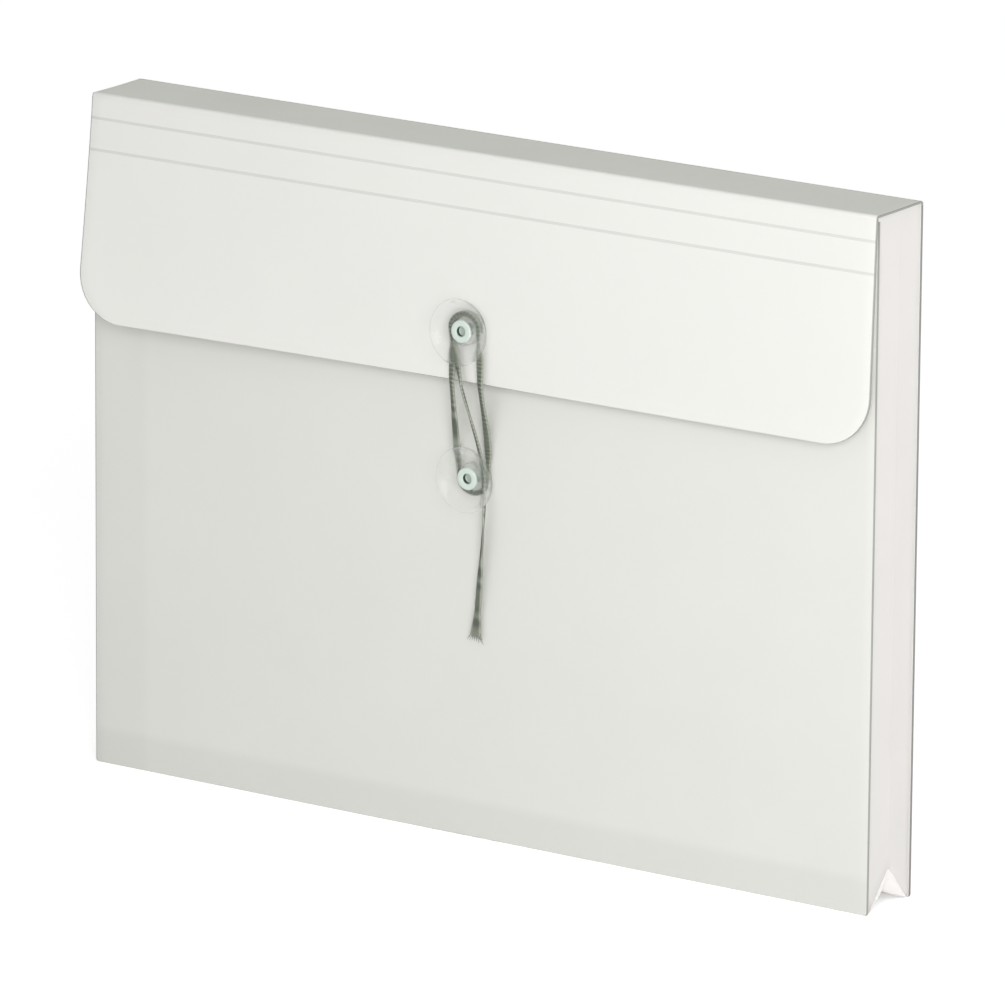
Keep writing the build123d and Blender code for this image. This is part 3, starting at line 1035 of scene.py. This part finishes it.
def build_buttons():
    """Clear discs and rolled rivets."""
    colours = settings().colours
    clear = plastic("clear_plastic", colours.disc, 0.12, transmission=1.0, mottle=0.004, ior=1.3, alpha=0.4)
    pale = plastic("rivet_plastic", colours.rivet, 0.28, mottle=0.02)
    # The hollow's wall gets a near-black material: painted shade where the hollow lies in shadow
    shade = plastic("rivet_hollow_painted_shade", colours.hollow, 0.5, mottle=0.05)
    outline = rivet_outline()
    # The hollow's wall, which takes the painted shade, starts at the fourth point from the outline's end
    hollow_wall = -4
    painted_shade_marks = [0] * len(outline)
    painted_shade_marks[hollow_wall] = 1
    for which in ("upper", "lower"):
        origin, _, normal = button_frame(which)
        disc = turned(f"{which}_clear_disc", disc_outline(), origin, normal, [clear], sharp=math.radians(50))
        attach(disc, f"{which}_disc")
        dress(disc, "clear_disc", f"{which}_disc")
        body = "flap" if which == "upper" else "front"
        rivet = turned(f"{which}_rolled_rivet", outline, origin, normal, [pale, shade], painted_shade_marks)
        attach(rivet, body)
        dress(rivet, "rivet", f"{which}_rivet")


# String


def wrap_points(which, start, end, height):
    """Corner points of a stretch that goes round a button, by angle in degrees."""
    s = settings().string
    wrap_radius = settings().buttons.hub_radius + s.radius + s.wrap_gap
    count = max(1, round(abs(end - start) / WRAP_STEP))
    step = math.radians(end - start) / count
    radius = wrap_radius / math.cos(step / 2)
    turns = [math.radians(start) + step * (i + 0.5) for i in range(count)]
    return [button_point(which, radius * math.cos(turn), radius * math.sin(turn), height) for turn in turns]


def edge_points(x, height, fall):
    """Two points, the upper one first, that carry a strand past the flap's lower edge."""
    margin = settings().string.edge_margin
    edge = settings().sheets.flap_length - settings().buttons.upper_drop
    return [
        button_point("upper", x, margin - edge, height),
        button_point("upper", x, -margin - edge, height - fall),
    ]


def string_route():
    """Control points of the string, from under the upper disc to the loose end."""
    s = settings().string
    b = settings().buttons
    radius = b.hub_radius + s.radius + s.wrap_gap
    inner = s.radius + s.gap
    outer = inner + 2 * s.radius + s.layer_gap
    spacing = (button_frame("lower")[0] - button_frame("upper")[0]).length
    slope = 2 * radius / spacing
    slant = math.degrees(math.asin(slope))
    edge = settings().sheets.flap_length - b.upper_drop
    below = b.disc_radius + s.under_disc
    route = [button_point("upper", radius, 0, inner)]
    route += wrap_points("upper", 0, 180, inner)
    route += edge_points(-radius, inner, FIRST_FALL)
    route += wrap_points("lower", 180, 360, inner)
    route += [button_point("lower", radius, below, inner + SECOND_START)]
    route += reversed(edge_points(radius, inner + SECOND_RISE, SECOND_FALL))
    route += wrap_points("upper", 0, 180 + slant, outer)
    route += edge_points(slope * edge - radius, inner + SLANT_RISE, SLANT_FALL)
    route += [button_point("lower", radius - slope * below, below, outer + SLANT_END)]
    route += wrap_points("lower", slant, -TAIL_LEAN, outer)
    route += [
        button_point("lower", TAIL_BEND_X, -TAIL_BEND_DROP, outer - TAIL_BEND_FALL),
        button_point("lower", TAIL_X, -s.tail_drop, inner + TAIL_RISE),
    ]
    return route


def nurbs_line(points, resolution):
    """Points along a smooth line that has these control points."""
    curve = bpy.data.curves.new("string_line", "CURVE")
    curve.dimensions = "3D"
    curve.resolution_u = resolution
    spline = curve.splines.new("NURBS")
    spline.points.add(len(points) - 1)
    for control, point in zip(spline.points, points):
        control.co = (*point, 1)
    spline.order_u = 3
    spline.use_endpoint_u = True
    line = bpy.data.objects.new("string_line", curve)
    bpy.context.scene.collection.objects.link(line)
    bpy.context.view_layer.update()
    mesh = bpy.data.meshes.new_from_object(line)
    found = np.array([vertex.co for vertex in mesh.vertices])
    bpy.data.objects.remove(line)
    bpy.data.meshes.remove(mesh)
    return found


def smooth_step(value):
    """Eases a value from 0 to 1."""
    value = min(1.0, max(0.0, value))
    return value * value * (3 - 2 * value)


def string_twist(share):
    """Turn of the flat string about its own line, by share of its length."""
    for (start, low), (end, high) in zip(TWIST_KEYS, TWIST_KEYS[1:]):
        if share <= end:
            return math.radians(low + (high - low) * smooth_step((share - start) / (end - start)))
    return math.radians(TWIST_KEYS[-1][1])


def braid(name, points):
    """A flat braid that follows the points, narrow and thick on the hubs, flared at its end."""
    s = settings().string
    frames = [button_frame(which) for which in ("upper", "lower")]
    tangents = unit(np.gradient(points, axis=0))
    steps = np.linalg.norm(np.diff(points, axis=0), axis=1)
    along = np.concatenate([[0], np.cumsum(steps)])
    total = along[-1]
    sides = 20
    side_power = 0.7
    face_power = 0.85
    weave_slant = 3.2
    groove_width = 0.14
    vertices = []
    strands = []
    flap_foot = frames[0][0].z - (settings().sheets.flap_length - settings().buttons.upper_drop)
    for point, tangent, distance in zip(points, tangents, along):
        near = min((Vector(point) - origin).length for origin, _, _ in frames)
        free = smooth_step((near - TIGHT_REACH) / TIGHT_FADE)
        width = s.tight_width + (s.width - s.tight_width) * free
        thick = s.tight_thickness + (s.thickness - s.tight_thickness) * free
        flare = smooth_step((distance - total + FLARE_LENGTH) / FLARE_LENGTH)
        width += (s.end_width - s.width) * flare
        on_flap = smooth_step((point[2] - flap_foot + EDGE_FADE) / (2 * EDGE_FADE))
        normal = frames[0][2] * on_flap + frames[1][2] * (1 - on_flap)
        across = Vector(tangent).cross(normal).normalized()
        turn = Matrix.Rotation(string_twist(distance / total), 3, Vector(tangent))
        across = turn @ across
        face = Vector(tangent).cross(across).normalized()
        phase = 2 * math.pi * distance / s.braid_pitch
        for side in range(sides):
            angle = 2 * math.pi * side / sides
            c = math.cos(angle)
            q = math.sin(angle)
            u = math.copysign(abs(c) ** side_power, c)
            v = math.copysign(abs(q) ** face_power, q)
            weave = math.sin(phase + weave_slant * u) * math.sin(phase - weave_slant * u)
            groove = max(0.0, 1 - abs(u) / groove_width)
            lift = s.braid_relief * (weave - 0.9 * groove) * abs(q)
            edge = 1 + 0.05 * math.sin(2 * phase) * abs(u)
            vertices.append(Vector(point) + across * (u * edge * width / 2) + face * (v * (thick / 2 + lift)))
            # Strand value: lower in the weave's valleys and in the middle groove, painted shade of the
            # relief, higher on the raised strands
            strands.append(0.5 + 0.5 * weave - 0.5 * groove)
    faces = []
    for ring in range(len(points) - 1):
        for side in range(sides):
            there = (side + 1) % sides
            low = ring * sides
            faces.append((low + side, low + there, low + sides + there, low + sides + side))
    faces.append(tuple(range(sides)))
    faces.append(tuple(reversed(range((len(points) - 1) * sides, len(points) * sides))))
    found = add_object(name, vertices, faces, [braid_material()], sharp=math.radians(80))
    if len(found.data.vertices) != len(strands):
        raise RuntimeError("the string's mesh lost points")
    layer = found.data.attributes.new("strand", "FLOAT", "POINT")
    layer.data.foreach_set("value", strands)
    return found


def loose_fibres(points):
    """Loose fibres that fan out of the string's cut end."""
    s = settings().string
    end = Vector(points[-1])
    down = (end - Vector(points[-4])).normalized()
    normal = button_frame("lower")[2]
    across = down.cross(normal).normalized()
    noise.seed_set(FIBRE_SEED)
    vertices = []
    faces = []
    sides = 6
    rings = 7
    overlap = 0.0012
    fan = 0.0016
    sway = 0.0006
    for fibre in range(s.fibres):
        share = 2 * fibre / max(1, s.fibres - 1) - 1
        wander = noise.noise_vector(Vector((fibre * 3.7, 1.9, 8.2)))
        length = s.fibre_length * (0.6 + 0.4 * abs(wander.x) + 0.15 * math.cos(fibre * 2.1))
        start = end - down * overlap + across * (share * s.end_width * 0.46) + normal * (wander.y * 0.0002)
        first = len(vertices)
        for ring in range(rings):
            t = ring / (rings - 1)
            spread = across * (share * fan * t * t + wander.z * sway * t * t)
            middle = start + down * (length * t) + spread + normal * (wander.y * 0.0005 * t)
            radius = s.fibre_radius * (1 - 0.6 * t)
            for side in range(sides):
                turn = 2 * math.pi * side / sides
                vertices.append(middle + (across * math.cos(turn) + normal * math.sin(turn)) * radius)
        for ring in range(rings - 1):
            for side in range(sides):
                there = (side + 1) % sides
                low = first + ring * sides
                faces.append((low + side, low + there, low + sides + there, low + sides + side))
        faces.append(tuple(first + side for side in range(sides)))
        last = first + (rings - 1) * sides
        faces.append(tuple(last + side for side in reversed(range(sides))))
    found = add_object("string_fibres", vertices, faces, [braid_material()], sharp=math.radians(80))
    layer = found.data.attributes.new("strand", "FLOAT", "POINT")
    shades = [0.25 + 0.5 * ((i // (sides * rings)) % 3) / 2 for i in range(len(found.data.vertices))]
    layer.data.foreach_set("value", shades)
    return found


def build_string():
    """The flat string wound on both buttons, with its loose end."""
    route = string_route()
    points = nurbs_line(route, 24)
    cord = braid("string_tape", points)
    fibres = loose_fibres(points)
    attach(cord, "flap")
    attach(fibres, "flap")
    dress(cord, "cord", "string")
    tuple(route[0])


def build_hidden_parts():
    """Materials of the welded flanges and the washers, which stay as they are in the frame."""
    colours = settings().colours
    flange = sheet_material("gusset")
    washer = plastic("washer_plastic", colours.washer, 0.4, transmission=0.2, mottle=0.01)
    for name, node in frame["nodes"].items():
        if name.endswith("_flange") or name.endswith("_washer"):
            node.data.materials.clear()
            node.data.materials.append(washer if name.endswith("_washer") else flange)


# Stage


def build_camera(stage):
    """The camera that takes the picture."""
    azimuth = stage.azimuth
    elevation = stage.elevation
    roll = stage.roll
    away = Vector((
        math.sin(azimuth) * math.cos(elevation),
        -math.cos(azimuth) * math.cos(elevation),
        math.sin(elevation),
    ))
    level_right = (-away).cross(Vector((0, 0, 1))).normalized()
    level_up = level_right.cross(-away).normalized()
    right = level_right * math.cos(roll) + level_up * math.sin(roll)
    up = level_up * math.cos(roll) - level_right * math.sin(roll)
    data = bpy.data.cameras.new("camera")
    data.lens = stage.lens
    data.sensor_width = 36
    data.clip_end = 100
    camera = bpy.data.objects.new("camera", data)
    turn = Matrix((right, up, away)).transposed().to_4x4()
    camera.matrix_world = Matrix.Translation(Vector(stage.target) + away * stage.distance) @ turn
    bpy.context.scene.collection.objects.link(camera)
    bpy.context.scene.camera = camera


def seen_rays(tree):
    """Output that is 1 for rays that end in the picture, seen straight, in a gloss or through glass."""
    path = tree.nodes.new("ShaderNodeLightPath")
    output = path.outputs["Is Camera Ray"]
    for ray in ("Is Glossy Ray", "Is Transmission Ray"):
        both = tree.nodes.new("ShaderNodeMath")
        both.operation = "MAXIMUM"
        tree.links.new(output, both.inputs[0])
        node_link(tree, path, ray, both, 1)
        output = both.outputs[0]
    return output


def build_light(stage):
    """An even white surround and one soft key light from the front right."""
    world = bpy.data.worlds.new("surround")
    bpy.context.scene.world = world
    world.use_nodes = True
    tree = world.node_tree
    tree.nodes.clear()
    seen = tree.nodes.new("ShaderNodeBackground")
    seen.inputs["Strength"].default_value = 1.0
    seen.inputs["Color"].default_value = (1, 1, 1, 1)
    even = tree.nodes.new("ShaderNodeBackground")
    even.inputs["Strength"].default_value = stage.world_light
    even.inputs["Color"].default_value = (1, 1, 1, 1)
    mix = tree.nodes.new("ShaderNodeMixShader")
    out = tree.nodes.new("ShaderNodeOutputWorld")
    tree.links.new(seen_rays(tree), mix.inputs["Fac"])
    tree.links.new(even.outputs[0], mix.inputs[1])
    tree.links.new(seen.outputs[0], mix.inputs[2])
    tree.links.new(mix.outputs[0], out.inputs["Surface"])
    data = bpy.data.lights.new("key_light", "AREA")
    data.shape = "SQUARE"
    data.size = stage.key_size
    data.energy = stage.key_power
    key = bpy.data.objects.new("key_light", data)
    place = Vector(stage.key_place)
    aim = Vector((0, 0, 0.1))
    key.location = place
    key.rotation_euler = (aim - place).to_track_quat("-Z", "Y").to_euler()
    bpy.context.scene.collection.objects.link(key)


def build_floor(stage):
    """A pale floor that shows nearly white and keeps the object's shadow."""
    half = stage.floor_size / 2
    material = bpy.data.materials.new("pale_floor")
    material.use_nodes = True
    tree = material.node_tree
    shader = tree.nodes["Principled BSDF"]
    shader.inputs["Roughness"].default_value = 0.9
    shader.inputs["Specular IOR Level"].default_value = 0.0
    shader.inputs["Base Color"].default_value = tuple(settings().colours.floor)
    shader.inputs["Emission Color"].default_value = (1, 1, 1, 1)
    glow = tree.nodes.new("ShaderNodeMath")
    glow.operation = "MULTIPLY"
    glow.inputs[1].default_value = stage.floor_glow
    tree.links.new(seen_rays(tree), glow.inputs[0])
    node_link(tree, glow, 0, shader, "Emission Strength")
    corners = [(-half, -half, 0), (half, -half, 0), (half, half, 0), (-half, half, 0)]
    floor = add_object("floor", corners, [(0, 1, 2, 3)], [material])


class BuildOperator:
    """Shared behaviour of the operators: build, or report why not."""

    bl_options = {"REGISTER"}
    adds = True

    def execute(self, context):
        if not hasattr(context.scene, "document_case"):
            raise RuntimeError("the case's settings are not registered")
        before = len(bpy.data.objects)
        self.build()
        if self.adds and len(bpy.data.objects) <= before:
            raise RuntimeError(f"{self.bl_label} added nothing")
        return {"FINISHED"}


class CASE_OT_panels(BuildOperator, bpy.types.Operator):
    """Builds the back sheet, the front sheet and the spine"""

    bl_idname = "document_case.panels"
    bl_label = "Panels and Spine"
    build = staticmethod(build_panels)


class CASE_OT_flap(BuildOperator, bpy.types.Operator):
    """Builds the flap with its crease and its scored lines"""

    bl_idname = "document_case.flap"
    bl_label = "Flap"
    build = staticmethod(build_flap)


class CASE_OT_gussets(BuildOperator, bpy.types.Operator):
    """Builds the side gussets and the bottom gusset"""

    bl_idname = "document_case.gussets"
    bl_label = "Gussets"
    build = staticmethod(build_gussets)


class CASE_OT_gores(BuildOperator, bpy.types.Operator):
    """Builds the two folded lower corners"""

    bl_idname = "document_case.gores"
    bl_label = "Folded Corners"
    build = staticmethod(build_gores)


class CASE_OT_buttons(BuildOperator, bpy.types.Operator):
    """Builds both buttons with their discs and rivets"""

    bl_idname = "document_case.buttons"
    bl_label = "Buttons"
    build = staticmethod(build_buttons)


class CASE_OT_string(BuildOperator, bpy.types.Operator):
    """Builds the string wound on the buttons"""

    bl_idname = "document_case.string"
    bl_label = "String"
    build = staticmethod(build_string)


class CASE_OT_hidden_parts(BuildOperator, bpy.types.Operator):
    """Gives the welded flanges and the washers their materials"""

    bl_idname = "document_case.hidden_parts"
    bl_label = "Flanges and Washers"
    adds = False
    build = staticmethod(build_hidden_parts)


class CASE_OT_stage(BuildOperator, bpy.types.Operator):
    """Builds the camera, the light and the floor"""

    bl_idname = "document_case.stage"
    bl_label = "Stage"

    def build(self):
        scene = bpy.context.scene
        scene.view_settings.view_transform = "Standard"
        stage = settings().stage
        build_camera(stage)
        build_light(stage)
        build_floor(stage)


OPERATORS = (
    CASE_OT_stage, CASE_OT_string, CASE_OT_buttons, CASE_OT_flap, CASE_OT_panels,
    CASE_OT_gussets, CASE_OT_gores, CASE_OT_hidden_parts,
)


class CASE_PT_panel(bpy.types.Panel):
    """Sidebar panel that lists the case's pieces"""

    bl_idname = "CASE_PT_panel"
    bl_label = "Document Case"
    bl_space_type = "VIEW_3D"
    bl_region_type = "UI"
    bl_category = "Document Case"

    def draw(self, context):
        for operator in OPERATORS:
            self.layout.operator(operator.bl_idname)


GROUPS = (SheetSettings, ButtonSettings, StringSettings, ColourSettings, StageSettings, CaseSettings)
CLASSES = GROUPS + OPERATORS + (CASE_PT_panel,)


def register():
    """Registers the add-on's classes and its settings."""
    for cls in CLASSES:
        bpy.utils.register_class(cls)
    bpy.types.Scene.document_case = PointerProperty(type=CaseSettings)


def unregister():
    """Takes the add-on's classes and settings away."""
    del bpy.types.Scene.document_case
    for cls in reversed(CLASSES):
        bpy.utils.unregister_class(cls)


def main():
    """Registers the add-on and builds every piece."""
    register()
    for operator in OPERATORS:
        group, name = operator.bl_idname.split(".")
        getattr(getattr(bpy.ops, group), name)()


if __name__ == "__main__":
    main()
